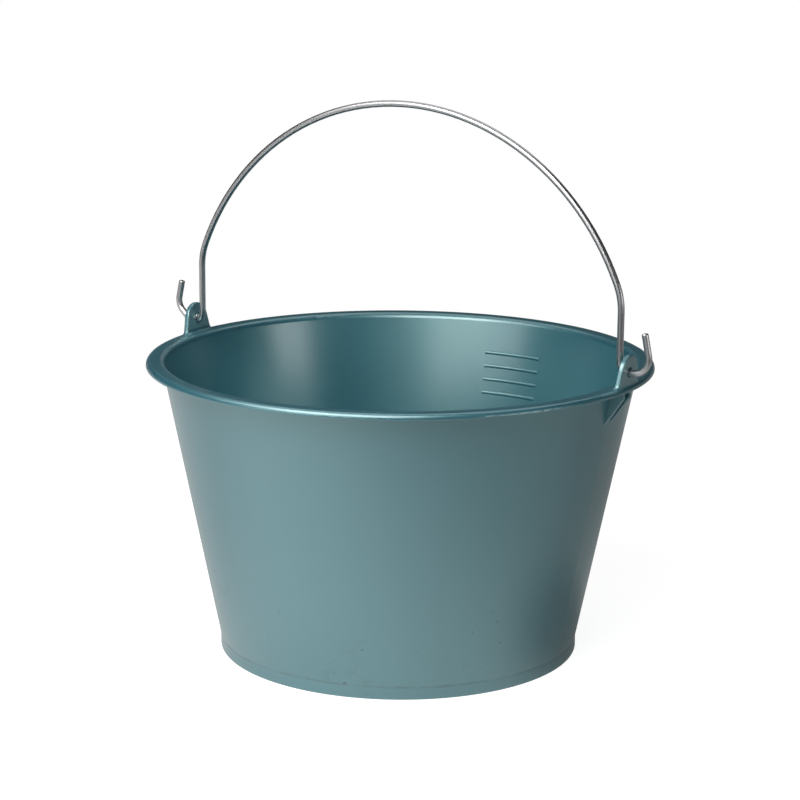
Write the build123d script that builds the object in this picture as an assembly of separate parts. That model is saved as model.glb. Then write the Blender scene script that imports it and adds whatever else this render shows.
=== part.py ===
from build123d import *
import os
from math import acos, asin, atan2, cos, hypot, radians, sin, sqrt, tan

# A moulded plastic bucket with a bent wire bail. Millimetres, +Z up.
# The origin is the middle of the foot, on the ground. The ears stand at -X and +X,
# the bail stands upright over the mouth and the level marks are on the +Y side inside.

# Body, driving sizes
RIM_DIAMETER = 342.0      # over the flange
BODY_HEIGHT = 200.0       # ground to the top of the flange
FOOT_DIAMETER = 245.0     # outside of the upright band at the foot
FOOT_HEIGHT = 8.5         # height of that band
FOOT_RING = 3.2           # width of the ring that stands on the ground
FOOT_EDGE_RADIUS = 0.8
FLOOR_LIFT = 4.0          # depth of the hollow under the floor
FLOOR_THICKNESS = 3.0
FLOOR_RADIUS = 6.0        # corner of the floor inside
WALL_THICKNESS = 2.5
FLANGE_REACH = 11.0       # from the outside of the wall to the flange edge
FLANGE_THICKNESS = 3.9
FLANGE_TOP_SHARE = 0.8    # rounding of the flange edge above, as a share of its thickness
FLANGE_UNDER_SHARE = 0.15  # and below
UNDER_RADIUS = 1.5        # corner under the flange
LIP_RADIUS = 5.0          # soft flare from the inner wall to the flange top
LIP_SHARE = 1.1           # most that radius may be, as a share of the way from the inner wall to an ear

# Ears, driving sizes
EAR_HEIGHT = 20.6         # above the flange top, along the ear
EAR_BASE_WIDTH = 30.0
EAR_HEAD_RADIUS = 11.8
EAR_THICKNESS = 3.6
EAR_LEAN = 5.0            # degrees, outward
EAR_SETBACK = 2.0         # outer face of an ear at the flange top, inward from the flange edge
EAR_EDGE_RADIUS = 1.0
EAR_ROOT_RADIUS = 3.2
EYE_PLAY = 2.2            # width of the eye over that of the wire; the eye is level, along X
EYE_RISE = 9.1            # middle of the eye above the flange top
EYE_EDGE_RADIUS = 0.6

# Gusset ribs under each ear, driving sizes
GUSSET_SPACING = 9.5      # between the middles of the pair
GUSSET_THICKNESS = 2.8
GUSSET_DROP = 23.4        # from the underside of the flange down the wall
GUSSET_END = 4.6          # upright end near the flange edge
GUSSET_SETBACK = 2.6      # that end, inward from the flange edge
GUSSET_EDGE_RADIUS = 0.6

# Level marks on the inner wall, driving sizes
MARK_COUNT = 4
MARK_TOP_DROP = 25.5      # top mark below the flange top
MARK_SPACING = 9.6
MARK_START = 79.0         # polar angles from +X, in degrees
MARK_END = 96.0
MARK_HEIGHT = 2.6
MARK_RELIEF = 0.7

# Bail, driving sizes
WIRE_DIAMETER = 4.4
SEAT_CLEARANCE = 0.3      # under the wire where it lies in the eye
LEG_INSET = 3.8           # middle of a leg, inward from the ear's inner face at the pivot
LEG_SLANT = 20.5          # degrees, where a leg turns out to its eye
KNEE_RADIUS = 12.0        # bend at the top of the slant
KNEE_SHARE = 0.9          # most of the slant, over its lower bend, that the knee may take
EYE_BEND_RADIUS = 4.2
PIVOT_LEAD = 1.1          # the wire is straight from this far past the ear's inner face
BAIL_RISE = 170.0         # middle of the wire at the crown, above the flange top
ARCH_SPREAD = 9.9         # radius of the arch beyond the half span of the legs
SHOULDER_RADIUS = 45.0
HOOK_REACH = 12.8         # furthest middle of a hook from the ear's outer face at the pivot
HOOK_RISE = 26.7          # tip of a hook above the pivot
HOOK_LEAN = 12.0          # degrees, inward
HOOK_RADIUS = 10.0
ELBOW_LEAD = 4.4          # from the ear's outer face to the elbow of the hook at -X
ELBOW_TURN = 45.0         # degrees
ELBOW_RADIUS = 3.5
TIP_RADIUS = 1.0

# Places on the body
RIM_RADIUS = RIM_DIAMETER / 2
FOOT_RADIUS = FOOT_DIAMETER / 2
FLOOR_TOP = FLOOR_LIFT + FLOOR_THICKNESS
FLANGE_MIDDLE = BODY_HEIGHT - FLANGE_THICKNESS / 2
UNDER_FLANGE = BODY_HEIGHT - FLANGE_THICKNESS
WALL_TOP_RADIUS = RIM_RADIUS - FLANGE_REACH
WALL_LEAN = (WALL_TOP_RADIUS - FOOT_RADIUS) / (UNDER_FLANGE - FOOT_HEIGHT)
WALL_ACROSS = WALL_THICKNESS * sqrt(1 + WALL_LEAN**2)

# Places on the ears
LEAN = radians(EAR_LEAN)
EAR_ACROSS = EAR_THICKNESS / cos(LEAN)
EAR_OUTER = RIM_RADIUS - EAR_SETBACK
EAR_INNER = EAR_OUTER - EAR_ACROSS
EYE_RADIUS = (WIRE_DIAMETER + EYE_PLAY) / 2
EYE_HEIGHT = BODY_HEIGHT + EYE_RISE

# Places on the bail
WIRE_RADIUS = WIRE_DIAMETER / 2
PIVOT_HEIGHT = EYE_HEIGHT - EYE_RADIUS + WIRE_RADIUS + SEAT_CLEARANCE
PIVOT_INNER = EAR_INNER + (PIVOT_HEIGHT - BODY_HEIGHT) * tan(LEAN)
PIVOT_OUTER = PIVOT_INNER + EAR_ACROSS
LEG = PIVOT_INNER - LEG_INSET
ARCH_RADIUS = LEG + ARCH_SPREAD
ARCH_CENTRE = BODY_HEIGHT + BAIL_RISE - ARCH_RADIUS
SHOULDER_ACROSS = LEG - SHOULDER_RADIUS
SHOULDER_HEIGHT = ARCH_CENTRE + sqrt((ARCH_RADIUS - SHOULDER_RADIUS)**2 - SHOULDER_ACROSS**2)
HOOK_ACROSS = PIVOT_OUTER + HOOK_REACH - HOOK_RADIUS
HOOK_TIP = PIVOT_HEIGHT + HOOK_RISE

# Allowance when edges are picked by their place
NEAR = 0.01


def outer_wall(height):
    """Radius of the outside of the wall at a height."""
    return FOOT_RADIUS + WALL_LEAN * (height - FOOT_HEIGHT)


def inner_wall(height):
    """Radius of the inside of the wall at a height."""
    return outer_wall(height) - WALL_ACROSS


def upright(points):
    """Points given as (x, z), placed in the XZ plane."""
    return [(x, 0, z) for x, z in points]


def upright_face(points):
    """A flat face in the XZ plane with straight sides."""
    return make_face(Polyline(*upright(points), close=True).edges())


def shell():
    """The turned shape: foot, wall, floor and flange."""
    ring_inside = FOOT_RADIUS - FOOT_RING
    mouth = inner_wall(BODY_HEIGHT)
    lip = min(LIP_RADIUS, LIP_SHARE * (EAR_INNER - EAR_ROOT_RADIUS - mouth))
    corners = [
        (0, FLOOR_LIFT, 0),
        (ring_inside, FLOOR_LIFT, FOOT_EDGE_RADIUS),
        (ring_inside, 0, FOOT_EDGE_RADIUS),
        (FOOT_RADIUS, 0, FOOT_EDGE_RADIUS),
        (FOOT_RADIUS, FOOT_HEIGHT, 0),
        (WALL_TOP_RADIUS, UNDER_FLANGE, UNDER_RADIUS),
        (RIM_RADIUS, UNDER_FLANGE, FLANGE_UNDER_SHARE * FLANGE_THICKNESS),
        (RIM_RADIUS, BODY_HEIGHT, FLANGE_TOP_SHARE * FLANGE_THICKNESS),
        (mouth, BODY_HEIGHT, lip),
        (inner_wall(FLOOR_TOP), FLOOR_TOP, FLOOR_RADIUS),
        (0, FLOOR_TOP, 0),
    ]
    places = upright([(x, z) for x, z, _ in corners])
    outline = FilletPolyline(*places, radius=[r for _, _, r in corners], close=True)
    return revolve(make_face(outline.edges()), axis=Axis.Z)


def ear_outline():
    """A round head with straight sides that run out to a wider base, drawn from the flange top."""
    base = EAR_BASE_WIDTH / 2
    sunk = FLANGE_MIDDLE - BODY_HEIGHT
    head = EAR_HEIGHT - EAR_HEAD_RADIUS
    drop = sunk - head
    touch = atan2(drop, base) + acos(EAR_HEAD_RADIUS / hypot(base, drop))
    across = EAR_HEAD_RADIUS * cos(touch)
    cheek = head + EAR_HEAD_RADIUS * sin(touch)
    sides = Polyline((-across, cheek), (-base, sunk), (base, sunk), (across, cheek))
    top = ThreePointArc((across, cheek), (0, EAR_HEIGHT), (-across, cheek))
    return make_face(sides.edges() + top.edges())


def ear():
    """The plate with an eye at +X, leaning outward on the flange."""
    face = Plane(origin=(EAR_INNER, 0, BODY_HEIGHT), x_dir=(0, 1, 0), z_dir=(cos(LEAN), 0, -sin(LEAN)))
    plate = extrude(face * ear_outline(), amount=EAR_THICKNESS)
    sides = plate.faces().sort_by(Axis(face.origin, face.z_dir))
    border = [edge for edge in sides[0].edges() + sides[-1].edges() if edge.center().Z > BODY_HEIGHT]
    plate = fillet(border, EAR_EDGE_RADIUS)
    plate -= extrude(Plane.YZ * Pos(0, EYE_HEIGHT) * Circle(EYE_RADIUS), amount=RIM_DIAMETER)
    mouths = [edge for edge in plate.edges() if edge.is_closed]
    return fillet(mouths, EYE_EDGE_RADIUS)


def ear_roots(body):
    """Edges where the inner face and sides of each ear meet the flange top; their rounding runs all round."""
    reach = EAR_BASE_WIDTH / 2
    roots = []
    for edge in body.edges():
        middle = edge.center()
        on_top = abs(middle.Z - BODY_HEIGHT) < NEAR and abs(middle.Y) < reach
        if on_top and EAR_INNER - NEAR < abs(middle.X) < EAR_OUTER - EAR_EDGE_RADIUS:
            roots.append(edge)
    return roots


def gusset(middle):
    """A rib under the flange at +X, with its middle plane at a Y."""
    end = RIM_RADIUS - GUSSET_SETBACK
    bottom = UNDER_FLANGE - GUSSET_DROP
    buried = WALL_THICKNESS / 2
    face = upright_face([
        (outer_wall(FLANGE_MIDDLE) - buried, FLANGE_MIDDLE),
        (end, FLANGE_MIDDLE),
        (end, UNDER_FLANGE - GUSSET_END),
        (outer_wall(bottom), bottom),
        (outer_wall(bottom) - buried, bottom),
    ])
    rib = extrude(face, amount=GUSSET_THICKNESS / 2, both=True)
    free = []
    for edge in rib.edges():
        place = edge.center()
        on_side = abs(abs(place.Y) - GUSSET_THICKNESS / 2) < NEAR
        if on_side and place.Z < FLANGE_MIDDLE - NEAR and place.X > outer_wall(place.Z) + NEAR:
            free.append(edge)
    return Pos(0, middle, 0) * fillet(free, GUSSET_EDGE_RADIUS)


def level_mark(height):
    """A short raised line with a round crest, on the inner wall."""
    buried = WALL_THICKNESS / 2
    low = height - MARK_HEIGHT / 2
    high = height + MARK_HEIGHT / 2
    foot = (inner_wall(low), low)
    crest = (inner_wall(height) - MARK_RELIEF, height)
    head = (inner_wall(high), high)
    ridge = ThreePointArc(*upright([foot, crest, head]))
    back = Polyline(*upright([head, (head[0] + buried, high), (foot[0] + buried, low), foot]))
    face = make_face(ridge.edges() + back.edges())
    return Rot(0, 0, MARK_START) * revolve(face, axis=Axis.Z, revolution_arc=MARK_END - MARK_START)


def bucket_body():
    """The one moulding: shell, ears, gussets and level marks."""
    body = shell()
    for piece in [ear()] + [gusset(side * GUSSET_SPACING / 2) for side in (-1, 1)]:
        body += piece
        body += mirror(piece, about=Plane.YZ)
    body = fillet(ear_roots(body), EAR_ROOT_RADIUS)
    for number in range(MARK_COUNT):
        body += level_mark(BODY_HEIGHT - MARK_TOP_DROP - number * MARK_SPACING)
    return body


def arch():
    """Wire over the top: a shoulder, the arch and the other shoulder."""
    rise = asin((SHOULDER_HEIGHT - ARCH_CENTRE) / (ARCH_RADIUS - SHOULDER_RADIUS))
    meet = (ARCH_RADIUS * cos(rise), ARCH_CENTRE + ARCH_RADIUS * sin(rise))
    half_across = SHOULDER_ACROSS + SHOULDER_RADIUS * cos(rise / 2)
    half_height = SHOULDER_HEIGHT + SHOULDER_RADIUS * sin(rise / 2)
    shoulder = [(LEG, SHOULDER_HEIGHT), (half_across, half_height), meet]
    curves = [ThreePointArc(*upright([(side * x, z) for x, z in shoulder])) for side in (-1, 1)]
    crown = [(-meet[0], meet[1]), (0, ARCH_CENTRE + ARCH_RADIUS), meet]
    return curves + [ThreePointArc(*upright(crown))]


def hook_line(height, bend_height):
    """Middle of the leaning end of a hook at a height, above a bend centred at another."""
    lean = radians(HOOK_LEAN)
    return HOOK_ACROSS + HOOK_RADIUS / cos(lean) - (height - bend_height) * tan(lean)


def round_hook():
    """Corners of the hook at +X, one wide bend, each with its radius."""
    bend = PIVOT_HEIGHT + HOOK_RADIUS
    return [
        (hook_line(PIVOT_HEIGHT, bend), PIVOT_HEIGHT, HOOK_RADIUS),
        (hook_line(HOOK_TIP, bend), HOOK_TIP, 0),
    ]


def elbow_hook():
    """Corners of the hook at -X, an elbow and then a bend, each with its radius."""
    turn = radians(ELBOW_TURN)
    start = PIVOT_OUTER + ELBOW_LEAD
    bend = PIVOT_HEIGHT + HOOK_RADIUS / cos(turn) + (HOOK_ACROSS - start) * tan(turn)
    across = (hook_line(PIVOT_HEIGHT, bend) - start) / (1 + tan(turn) * tan(radians(HOOK_LEAN)))
    return [
        (start, PIVOT_HEIGHT, ELBOW_RADIUS),
        (start + across, PIVOT_HEIGHT + across * tan(turn), HOOK_RADIUS),
        (hook_line(HOOK_TIP, bend), HOOK_TIP, 0),
    ]


def leg_and_hook(side, hook):
    """Wire from a shoulder down the leg, through the eye and round the hook."""
    turn = radians(90 - LEG_SLANT)
    half_bend = EYE_BEND_RADIUS * tan(turn / 2)
    eye_corner = PIVOT_INNER + PIVOT_LEAD - half_bend
    slant = (eye_corner - LEG) / cos(turn)
    knee_radius = min(KNEE_RADIUS, KNEE_SHARE * (slant - half_bend) / tan(radians(LEG_SLANT) / 2))
    corners = [
        (LEG, SHOULDER_HEIGHT, 0),
        (LEG, PIVOT_HEIGHT + slant * sin(turn), knee_radius),
        (eye_corner, PIVOT_HEIGHT, EYE_BEND_RADIUS),
    ] + hook
    places = upright([(side * x, z) for x, z, _ in corners])
    return FilletPolyline(*places, radius=[r for _, _, r in corners[1:-1]])


def wire_bail():
    """One bent wire with its two hooked ends."""
    edges = []
    for curve in arch() + [leg_and_hook(1, round_hook()), leg_and_hook(-1, elbow_hook())]:
        edges += curve.edges()
    path = Wire(edges)
    wire = sweep(Plane(path @ 0, z_dir=path % 0) * Circle(WIRE_RADIUS), path=path)
    tips = [edge for face in wire.faces().filter_by(GeomType.PLANE) for edge in face.edges()]
    return fillet(tips, TIP_RADIUS)


os.makedirs("parts", exist_ok=True)
for name, solid in {"bucket_body": bucket_body(), "wire_bail": wire_bail()}.items():
    export_step(solid, f"parts/{name}.step")
    print(name, "solids", len(solid.solids()), "volume", round(solid.volume), "valid", solid.is_valid)
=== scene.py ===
from math import cos, radians, sin

import bmesh
import bpy
from mathutils import Matrix, Vector

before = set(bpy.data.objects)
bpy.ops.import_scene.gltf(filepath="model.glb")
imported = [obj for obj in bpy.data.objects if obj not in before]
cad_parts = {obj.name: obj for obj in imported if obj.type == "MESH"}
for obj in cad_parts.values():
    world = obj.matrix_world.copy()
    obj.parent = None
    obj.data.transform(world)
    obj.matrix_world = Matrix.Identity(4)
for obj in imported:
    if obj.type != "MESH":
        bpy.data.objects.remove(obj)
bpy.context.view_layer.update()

# A moulded plastic bucket with a wire bail, seen on a plain white ground.
# Metres, +Z up, in the frame of the solids. Angles are in degrees, and left and right are the camera's.
# Colours are linear RGB. A noise is its scale, detail and roughness, and a range is its low and high end.

# Camera, as the photograph was taken
CAMERA_TARGET = Vector((0, 0, 0.1699))
CAMERA_DISTANCE = 1.560
CAMERA_AZIMUTH = 30.2
CAMERA_ELEVATION = 12.93
CAMERA_ROLL = 0.45
CAMERA_LENS = 103.5          # mm, on a sensor of the width below
CAMERA_SENSOR = 36.0

# Plastic
PLASTIC_DEEP = (0.008, 0.098, 0.150)
PLASTIC_PALE = (0.011, 0.112, 0.168)
FLOW_RISE = 2.5              # how fast the flow streaks change with height
STREAKS = (7.0, 4.0, 0.6)
CLOUDS = (14.0, 3.0, 0.55)
CLOUD_SHARE = 0.45           # of clouds in the mottle of streaks and clouds
MOTTLE_RANGE = (0.3, 0.7)    # from the deep colour to the pale one
CLOUD_RANGE = (0.25, 0.75)   # from the low roughness to the high one
PLASTIC_ROUGH = (0.42, 0.50)
PEEL = (260.0, 2.0, 0.5)
GRAIN = (1400.0, 2.0, 0.6)
GRAIN_SHARE = 0.3            # of grain in the relief of peel and grain
PLASTIC_BUMP = (0.12, 0.0002)  # strength, and depth of the relief

# Dirt and rubs on the plastic, and a darker line along the crease above the foot band
SOIL_COLOUR = (0.004, 0.028, 0.040)
SOIL_LOW = 0.004             # heights between which specks and rubs thin out
SOIL_HIGH = 0.100
SPECKS = (190.0, 2.0, 0.5)
SPECK_RANGE = (0.715, 0.765)
RUBS = (46.0, 5.0, 0.7)
RUB_RANGE = (0.58, 0.72)
RUB_MOST = 0.3               # share of dirt in the strongest rub
FOOT_CREASE = 0.0085         # height of the crease above the foot band, along which a darker line runs
CREASE_REACH = 0.0014        # how far from it the darker line reaches
CREASE_LINE = (38.0, 4.0, 0.65)
CREASE_LINE_RANGE = (0.38, 0.62)
CREASE_LINE_SHARE = (0.1, 0.7)   # of the darker line in the crease, where it is faintest and strongest
SOIL_ROUGH = 0.4             # roughness that full dirt and the darker line add
SOIL_DEPTH = 2.0             # how far full dirt and the darker line are sunk, in depths of the relief

# Wire
ZINC_BRIGHT = (0.70, 0.70, 0.71)
ZINC_DULL = (0.62, 0.62, 0.63)
ZINC_LINE = (0.34, 0.34, 0.35)
PATCHES = (60.0, 3.0, 0.6)
DULL_RANGE = (0.35, 0.7)     # from the bright colour to the dull one
PATCH_RANGE = (0.3, 0.7)     # from the low roughness to the high one
WIRE_ROUGH = (0.285, 0.32)
DRAWN = (5, 420, 5)          # how close the drawn lines are; the wire lies in the XZ plane
LINES = (1.0, 2.0, 0.5)
LINE_RANGE = (0.50, 0.70)
LINE_MOST = 0.25             # share of the line's colour in the strongest line
WIRE_BUMP = (0.04, 0.00005)  # strength, and depth of the lines

# Lamps: turn from the camera (left is negative), elevation, distance, width, height, power in watts
LAMPS = {
    "main_softbox": (-27, 45, 1.0, 0.9, 0.7, 7.6),
    "left_softbox": (-68, 45, 1.0, 0.65, 0.45, 2.0),
    "low_softbox": (-42, 10, 2.2, 2.2, 0.6, 6.3),
    "side_strip": (61, 10, 2.0, 0.75, 0.5, 2.6),
    "back_softbox": (180, 65, 2.0, 2.2, 1.6, 8.0),
}

# Room round the floor
AMBIENT = 0.01               # grey of the room, for light that is neither seen nor mirrored
STUDIO_DARK = 0.03           # grey of the room above the backdrop, as glossy faces mirror it
BACKDROP_TOP = 0.02          # sine of the elevation where the mirrored backdrop has faded out

# Floor
FLOOR_RADIUS = 6.0
FLOOR_SIDES = 96
FLOOR_GREY = 0.8
FLOOR_GLOW = 0.90            # white that the shown floor has in full shadow
FLOOR_TAKE = 0.45            # grey that takes the light and the shadow on top of that
SHADOW_NEAR = 0.30           # distances from the origin between which the shadow fades out
SHADOW_FAR = 0.90

# Floor as glossy faces mirror it: a sheet of painted light and shade in place of lamp light on the floor,
# whose strength these shares grade
SHEET_SPAN = 0.38            # to either side; its painted light brightens from the right to the left
SHEET_LOW = 0.33
SHEET_HIGH = 0.92
SHEET_NEAR = 1.0             # distances from the origin between which it ends
SHEET_FAR = 1.8
FOOT_NEAR = 0.14             # distances from the origin between which its painted brightening by the foot fades out
FOOT_FAR = 0.36
FOOT_RISE = 1.2
BACK_NEAR = 0.20             # towards the camera, where painted shade dims it to the back
BACK_FAR = -0.05
BACK_SHARE = 0.7
GLARE_NEAR = -0.30           # towards the camera, where painted glare brightens it again far off at the back
GLARE_FAR = -0.70
GLARE_SPAN = 0.20            # to either side; that glare is on the right alone
GLARE_RISE = 1.8
SIDE_NEAR = 0.80             # to the left, where painted light brightens it far off
SIDE_FAR = 1.05
SIDE_RISE = 6.0
FRONT_NEAR = 0.31            # towards the camera, where painted shade dims it in front
FRONT_FAR = 0.69
FRONT_SHARE = 0.12
CORNER_TURN = -50            # turn from the camera of a corner of painted shade
CORNER_NEAR = 0.42           # distances that way between which painted shade dims it
CORNER_FAR = 0.70
CORNER_SHARE = 0.35
SHADE_TURN = 80              # turn from the camera of the object's painted shadow on the sheet
SHADE_OUT = 0.163            # middle of that painted shadow from the origin
SHADE_CORE = 0.03            # distances from its middle between which it fades out
SHADE_EDGE = 0.13
SHADE_SHARE = 0.40


def direction(azimuth, elevation):
    """Unit vector from the object towards a place round it; azimuth 0 is -Y and 90 is +X."""
    around = radians(azimuth)
    up = radians(elevation)
    return Vector((sin(around) * cos(up), -cos(around) * cos(up), sin(up)))


def looking_at(place, target, roll=0.0):
    """Matrix of a camera or a lamp at a place, turned to a target and level but for a roll."""
    back = (place - target).normalized()
    right = Vector((0, 0, 1)).cross(back).normalized()
    up = back.cross(right)
    turn = radians(roll)
    rolled_right = cos(turn) * right + sin(turn) * up
    rolled_up = cos(turn) * up - sin(turn) * right
    matrix = Matrix((rolled_right, rolled_up, back)).transposed().to_4x4()
    matrix.translation = place
    return matrix


def link(thing):
    """An object, put into the scene."""
    bpy.context.scene.collection.objects.link(thing)
    return thing


# Nodes

def add_node(tree, kind, inputs=None, **settings):
    """A node with the given settings; an input given as a socket is linked to it."""
    made = tree.nodes.new(kind)
    for name, value in settings.items():
        setattr(made, name, value)
    for name, value in (inputs or {}).items():
        if isinstance(value, bpy.types.NodeSocket):
            tree.links.new(value, made.inputs[name])
        else:
            made.inputs[name].default_value = value
    return made


def calculate(tree, operation, first, second=0.0):
    """The result of an operation on one or two values."""
    return add_node(tree, "ShaderNodeMath", {0: first, 1: second}, operation=operation).outputs[0]


def calculate_vector(tree, operation, first, second=(0, 0, 0), result="Vector"):
    """The result of an operation on one or two vectors."""
    made = add_node(tree, "ShaderNodeVectorMath", {0: first, 1: second}, operation=operation)
    return made.outputs[result]


def spread(tree, value, low, high, to_low=0.0, to_high=1.0):
    """A value eased from one range to another, and held at its ends."""
    inputs = {"Value": value, "From Min": low, "From Max": high, "To Min": to_low, "To Max": to_high}
    return add_node(tree, "ShaderNodeMapRange", inputs, interpolation_type="SMOOTHSTEP").outputs[0]


def noise(tree, vector, scale, detail, rough):
    """A noise from about 0 to 1."""
    inputs = {"Vector": vector, "Scale": scale, "Detail": detail, "Roughness": rough}
    return add_node(tree, "ShaderNodeTexNoise", inputs).outputs[0]


# The mix node has sockets of one name for each kind, so they are picked by number

def blend_of(tree, first, second, share):
    """Two values added in fixed shares."""
    inputs = {0: share, 2: first, 3: second}
    return add_node(tree, "ShaderNodeMix", inputs, data_type="FLOAT").outputs[0]


def between(tree, factor, first, second):
    """A colour between two colours, each given as RGB or as a socket."""
    made = add_node(tree, "ShaderNodeMix", {0: factor}, data_type="RGBA")
    for place, colour in ((6, first), (7, second)):
        if isinstance(colour, bpy.types.NodeSocket):
            tree.links.new(colour, made.inputs[place])
        else:
            made.inputs[place].default_value = (*colour, 1)
    return made.outputs[2]


def bumped(tree, relief, strength, depth):
    """Normals of a surface with a fine relief on it."""
    inputs = {"Strength": strength, "Distance": depth, "Height": relief}
    return add_node(tree, "ShaderNodeBump", inputs).outputs[0]


def mixed(tree, factor, first, second):
    """A shader between two shaders."""
    return add_node(tree, "ShaderNodeMixShader", {0: factor, 1: first, 2: second}).outputs[0]


def shader_of(tree, kind, inputs):
    """A shader of one kind."""
    return add_node(tree, kind, inputs).outputs[0]


def grey(level):
    """RGBA of a grey."""
    return (level, level, level, 1)


def new_material(name):
    """An empty material and its nodes."""
    material = bpy.data.materials.new(name)
    material.use_nodes = True
    material.node_tree.nodes.clear()
    return material, material.node_tree


def give_surface(tree, shader, kind="ShaderNodeOutputMaterial"):
    """Makes a shader the surface of a material, or of the world."""
    output = add_node(tree, kind)
    tree.links.new(shader, output.inputs["Surface"])


# Materials

def flow_streaks(tree, place):
    """The melt runs up the wall, so its streaks stand upright all round."""
    level = calculate_vector(tree, "MULTIPLY", place, (1, 1, 0))
    around = calculate_vector(tree, "NORMALIZE", level)
    rise = calculate_vector(tree, "MULTIPLY", place, (0, 0, FLOW_RISE))
    return noise(tree, calculate_vector(tree, "ADD", around, rise), *STREAKS)


def dirt_and_crease_share(tree, place):
    """Share of dirt, specks and rubs thickest by the foot, and of a darker line in broken lengths along the
    crease there.
    """
    height = add_node(tree, "ShaderNodeSeparateXYZ", {0: place}).outputs["Z"]
    low_down = spread(tree, height, SOIL_LOW, SOIL_HIGH, 1.0, 0.0)
    specks = spread(tree, noise(tree, place, *SPECKS), *SPECK_RANGE)
    rubs = spread(tree, noise(tree, place, *RUBS), *RUB_RANGE, 0.0, RUB_MOST)
    worn = calculate(tree, "MULTIPLY", calculate(tree, "MAXIMUM", specks, rubs), low_down)
    off_crease = calculate(tree, "ABSOLUTE", calculate(tree, "SUBTRACT", height, FOOT_CREASE))
    in_crease = spread(tree, off_crease, 0.0, CREASE_REACH, 1.0, 0.0)
    crease_line = spread(tree, noise(tree, place, *CREASE_LINE), *CREASE_LINE_RANGE, *CREASE_LINE_SHARE)
    return calculate(tree, "MAXIMUM", worn, calculate(tree, "MULTIPLY", in_crease, crease_line))


def moulded_plastic():
    """Teal plastic, hazy under a satin skin, with faint flow streaks, and dirt and a darker crease line by
    the foot.
    """
    material, tree = new_material("moulded_plastic_finish")
    place = add_node(tree, "ShaderNodeTexCoord").outputs["Object"]
    clouds = noise(tree, place, *CLOUDS)
    dirt_and_crease = dirt_and_crease_share(tree, place)

    mottle = blend_of(tree, flow_streaks(tree, place), clouds, CLOUD_SHARE)
    colour = between(tree, spread(tree, mottle, *MOTTLE_RANGE), PLASTIC_DEEP, PLASTIC_PALE)
    colour = between(tree, dirt_and_crease, colour, SOIL_COLOUR)

    rough = spread(tree, clouds, *CLOUD_RANGE, *PLASTIC_ROUGH)
    rough = calculate(tree, "ADD", rough, calculate(tree, "MULTIPLY", dirt_and_crease, SOIL_ROUGH))

    relief = blend_of(tree, noise(tree, place, *PEEL), noise(tree, place, *GRAIN), GRAIN_SHARE)
    relief = calculate(tree, "SUBTRACT", relief, calculate(tree, "MULTIPLY", dirt_and_crease, SOIL_DEPTH))
    normal = bumped(tree, relief, *PLASTIC_BUMP)

    give_surface(tree, shader_of(tree, "ShaderNodeBsdfPrincipled", {
        "Base Color": colour,
        "Roughness": rough,
        "IOR": 2.05,
        "Specular IOR Level": 0.9,
        "Specular Tint": (0.47, 1.0, 0.95, 1),
        "Coat Weight": 1.0,
        "Coat Roughness": 0.27,
        "Coat IOR": 2.1,
        "Normal": normal,
        "Coat Normal": normal,
    }))
    return material


def galvanised_wire():
    """Drawn steel wire with a bright zinc coat: fine lines along it and dull patches."""
    material, tree = new_material("galvanised_wire_finish")
    place = add_node(tree, "ShaderNodeTexCoord").outputs["Object"]
    lines = noise(tree, calculate_vector(tree, "MULTIPLY", place, DRAWN), *LINES)
    patches = noise(tree, place, *PATCHES)
    colour = between(tree, spread(tree, patches, *DULL_RANGE), ZINC_BRIGHT, ZINC_DULL)
    colour = between(tree, spread(tree, lines, *LINE_RANGE, 0.0, LINE_MOST), colour, ZINC_LINE)
    give_surface(tree, shader_of(tree, "ShaderNodeBsdfPrincipled", {
        "Base Color": colour,
        "Roughness": spread(tree, patches, *PATCH_RANGE, *WIRE_ROUGH),
        "Metallic": 1.0,
        "Normal": bumped(tree, lines, *WIRE_BUMP),
    }))
    return material


def seen_or_mirrored(tree, path, mirrored):
    """1 for rays from the camera or through glass, and for mirrored rays their given share."""
    seen = calculate(tree, "MAXIMUM", path.outputs["Is Camera Ray"], path.outputs["Is Transmission Ray"])
    return calculate(tree, "MAXIMUM", seen, mirrored)


def along(tree, place, turn):
    """How far a place lies in a level direction, given as a turn from the camera's side."""
    return calculate_vector(tree, "DOT_PRODUCT", place, direction(CAMERA_AZIMUTH + turn, 0), "Value")


def painted_mirrored_sheet(tree, place, distance):
    """Strength of the floor as glossy faces mirror it: at most white, with painted light and shade graded as
    a lit sheet is.
    """
    to_left = along(tree, place, -90)
    to_camera = along(tree, place, 0)
    corner = along(tree, place, CORNER_TURN)
    glare = spread(tree, to_left, -GLARE_SPAN, GLARE_SPAN, GLARE_RISE, 1.0)
    # the object's painted shadow, a dark patch on the sheet at its right
    painted_shade_middle = SHADE_OUT * direction(CAMERA_AZIMUTH + SHADE_TURN, 0)
    off_painted_shade = calculate_vector(tree, "DISTANCE", place, painted_shade_middle, "Value")
    strength = spread(tree, to_left, -SHEET_SPAN, SHEET_SPAN, SHEET_LOW, SHEET_HIGH)
    shares = [
        spread(tree, distance, FOOT_NEAR, FOOT_FAR, FOOT_RISE, 1.0),
        spread(tree, distance, SHEET_NEAR, SHEET_FAR, 1.0, STUDIO_DARK),
        spread(tree, to_camera, BACK_FAR, BACK_NEAR, BACK_SHARE, 1.0),
        spread(tree, to_camera, GLARE_FAR, GLARE_NEAR, glare, 1.0),
        spread(tree, to_left, SIDE_NEAR, SIDE_FAR, 1.0, SIDE_RISE),
        spread(tree, to_camera, FRONT_NEAR, FRONT_FAR, 1.0, FRONT_SHARE),
        spread(tree, corner, CORNER_NEAR, CORNER_FAR, 1.0, CORNER_SHARE),
        spread(tree, off_painted_shade, SHADE_CORE, SHADE_EDGE, SHADE_SHARE, 1.0),
    ]
    for share in shares:
        strength = calculate(tree, "MULTIPLY", strength, share)
    return calculate(tree, "MINIMUM", strength, 1.0)


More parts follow.
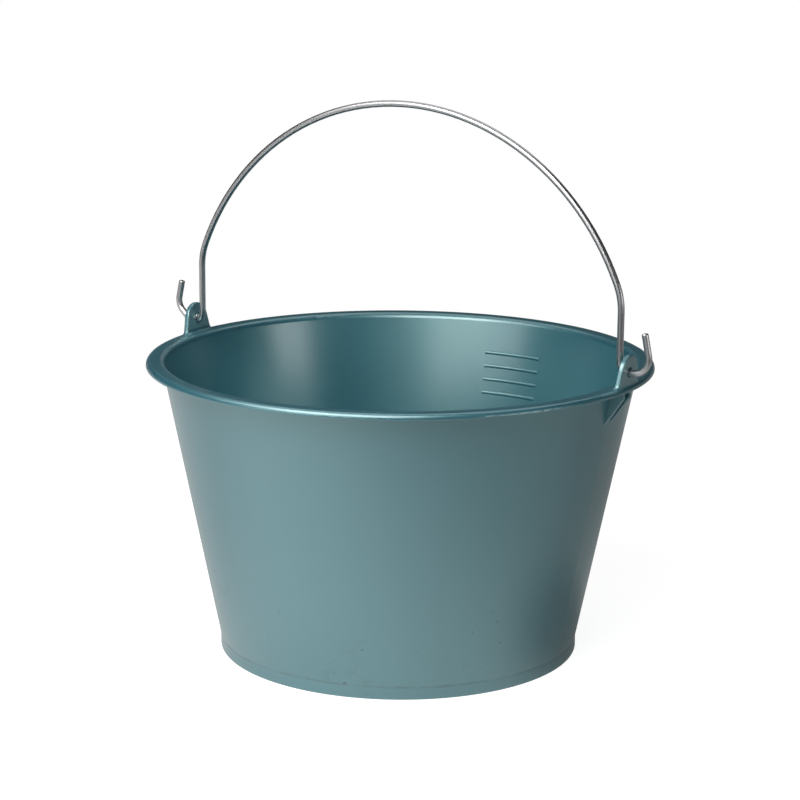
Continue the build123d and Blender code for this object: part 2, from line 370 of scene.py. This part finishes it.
def pale_floor():
    """White where it is seen, with the object's shadow, painted light and shade on a sheet where mirrored,
    and grey for the rest.
    """
    material, tree = new_material("pale_floor")
    path = add_node(tree, "ShaderNodeLightPath")
    mirrored = path.outputs["Is Glossy Ray"]
    place = add_node(tree, "ShaderNodeTexCoord").outputs["Object"]
    distance = calculate_vector(tree, "LENGTH", place, result="Value")
    plain = shader_of(tree, "ShaderNodeBsdfDiffuse", {"Color": grey(FLOOR_GREY)})
    lit = shader_of(tree, "ShaderNodeBsdfDiffuse", {"Color": grey(FLOOR_TAKE)})
    glow = shader_of(tree, "ShaderNodeEmission", {"Strength": FLOOR_GLOW})
    near = shader_of(tree, "ShaderNodeAddShader", {0: glow, 1: lit})
    white = shader_of(tree, "ShaderNodeEmission", {"Strength": 1.0})
    # painted light and shade of the floor, glowing for glossy rays alone
    sheet = shader_of(tree, "ShaderNodeEmission", {"Strength": painted_mirrored_sheet(tree, place, distance)})
    seen = mixed(tree, spread(tree, distance, SHADOW_NEAR, SHADOW_FAR), near, white)
    shown = mixed(tree, mirrored, seen, sheet)
    give_surface(tree, mixed(tree, seen_or_mirrored(tree, path, mirrored), plain, shown))
    return material


# Room

def make_camera():
    """The camera, where the photograph was taken from."""
    data = bpy.data.cameras.new("camera")
    data.lens = CAMERA_LENS
    data.sensor_width = CAMERA_SENSOR
    camera = link(bpy.data.objects.new("camera", data))
    place = CAMERA_TARGET + CAMERA_DISTANCE * direction(CAMERA_AZIMUTH, CAMERA_ELEVATION)
    camera.matrix_world = looking_at(place, CAMERA_TARGET, CAMERA_ROLL)
    bpy.context.scene.camera = camera


def make_lamp(name, turn, elevation, distance, width, height, power):
    """A soft lamp that faces the camera's target."""
    data = bpy.data.lights.new(name, "AREA")
    data.shape = "RECTANGLE"
    data.size = width
    data.size_y = height
    data.energy = power
    lamp = link(bpy.data.objects.new(name, data))
    place = CAMERA_TARGET + distance * direction(CAMERA_AZIMUTH + turn, elevation)
    lamp.matrix_world = looking_at(place, CAMERA_TARGET)


def make_floor():
    """A wide flat disc under the bucket."""
    mesh = bpy.data.meshes.new("floor")
    disc = bmesh.new()
    bmesh.ops.create_circle(disc, cap_ends=True, radius=FLOOR_RADIUS, segments=FLOOR_SIDES)
    disc.to_mesh(mesh)
    disc.free()
    mesh.materials.append(pale_floor())
    link(bpy.data.objects.new("floor", mesh))


def make_world():
    """White to the camera; glossy faces mirror a low white backdrop and a dark room above it."""
    world = bpy.data.worlds.new("studio")
    bpy.context.scene.world = world
    world.use_nodes = True
    tree = world.node_tree
    tree.nodes.clear()
    path = add_node(tree, "ShaderNodeLightPath")
    mirrored = path.outputs["Is Glossy Ray"]
    ray = add_node(tree, "ShaderNodeTexCoord").outputs["Generated"]
    height = add_node(tree, "ShaderNodeSeparateXYZ", {0: ray}).outputs["Z"]
    backdrop = spread(tree, height, 0.0, BACKDROP_TOP, 1.0, 0.0)
    white = shader_of(tree, "ShaderNodeBackground", {"Color": grey(1.0)})
    dim = shader_of(tree, "ShaderNodeBackground", {"Color": grey(AMBIENT)})
    dark = shader_of(tree, "ShaderNodeBackground", {"Color": grey(STUDIO_DARK)})
    room = mixed(tree, mirrored, dim, dark)
    to_backdrop = calculate(tree, "MULTIPLY", mirrored, backdrop)
    shown = mixed(tree, seen_or_mirrored(tree, path, to_backdrop), room, white)
    give_surface(tree, shown, "ShaderNodeOutputWorld")


bpy.context.scene.view_settings.view_transform = "Standard"
make_camera()
make_world()
make_floor()
for lamp_name, setting in LAMPS.items():
    make_lamp(lamp_name, *setting)
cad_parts["bucket_body"].material_slots[0].material = moulded_plastic()
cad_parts["wire_bail"].material_slots[0].material = galvanised_wire()
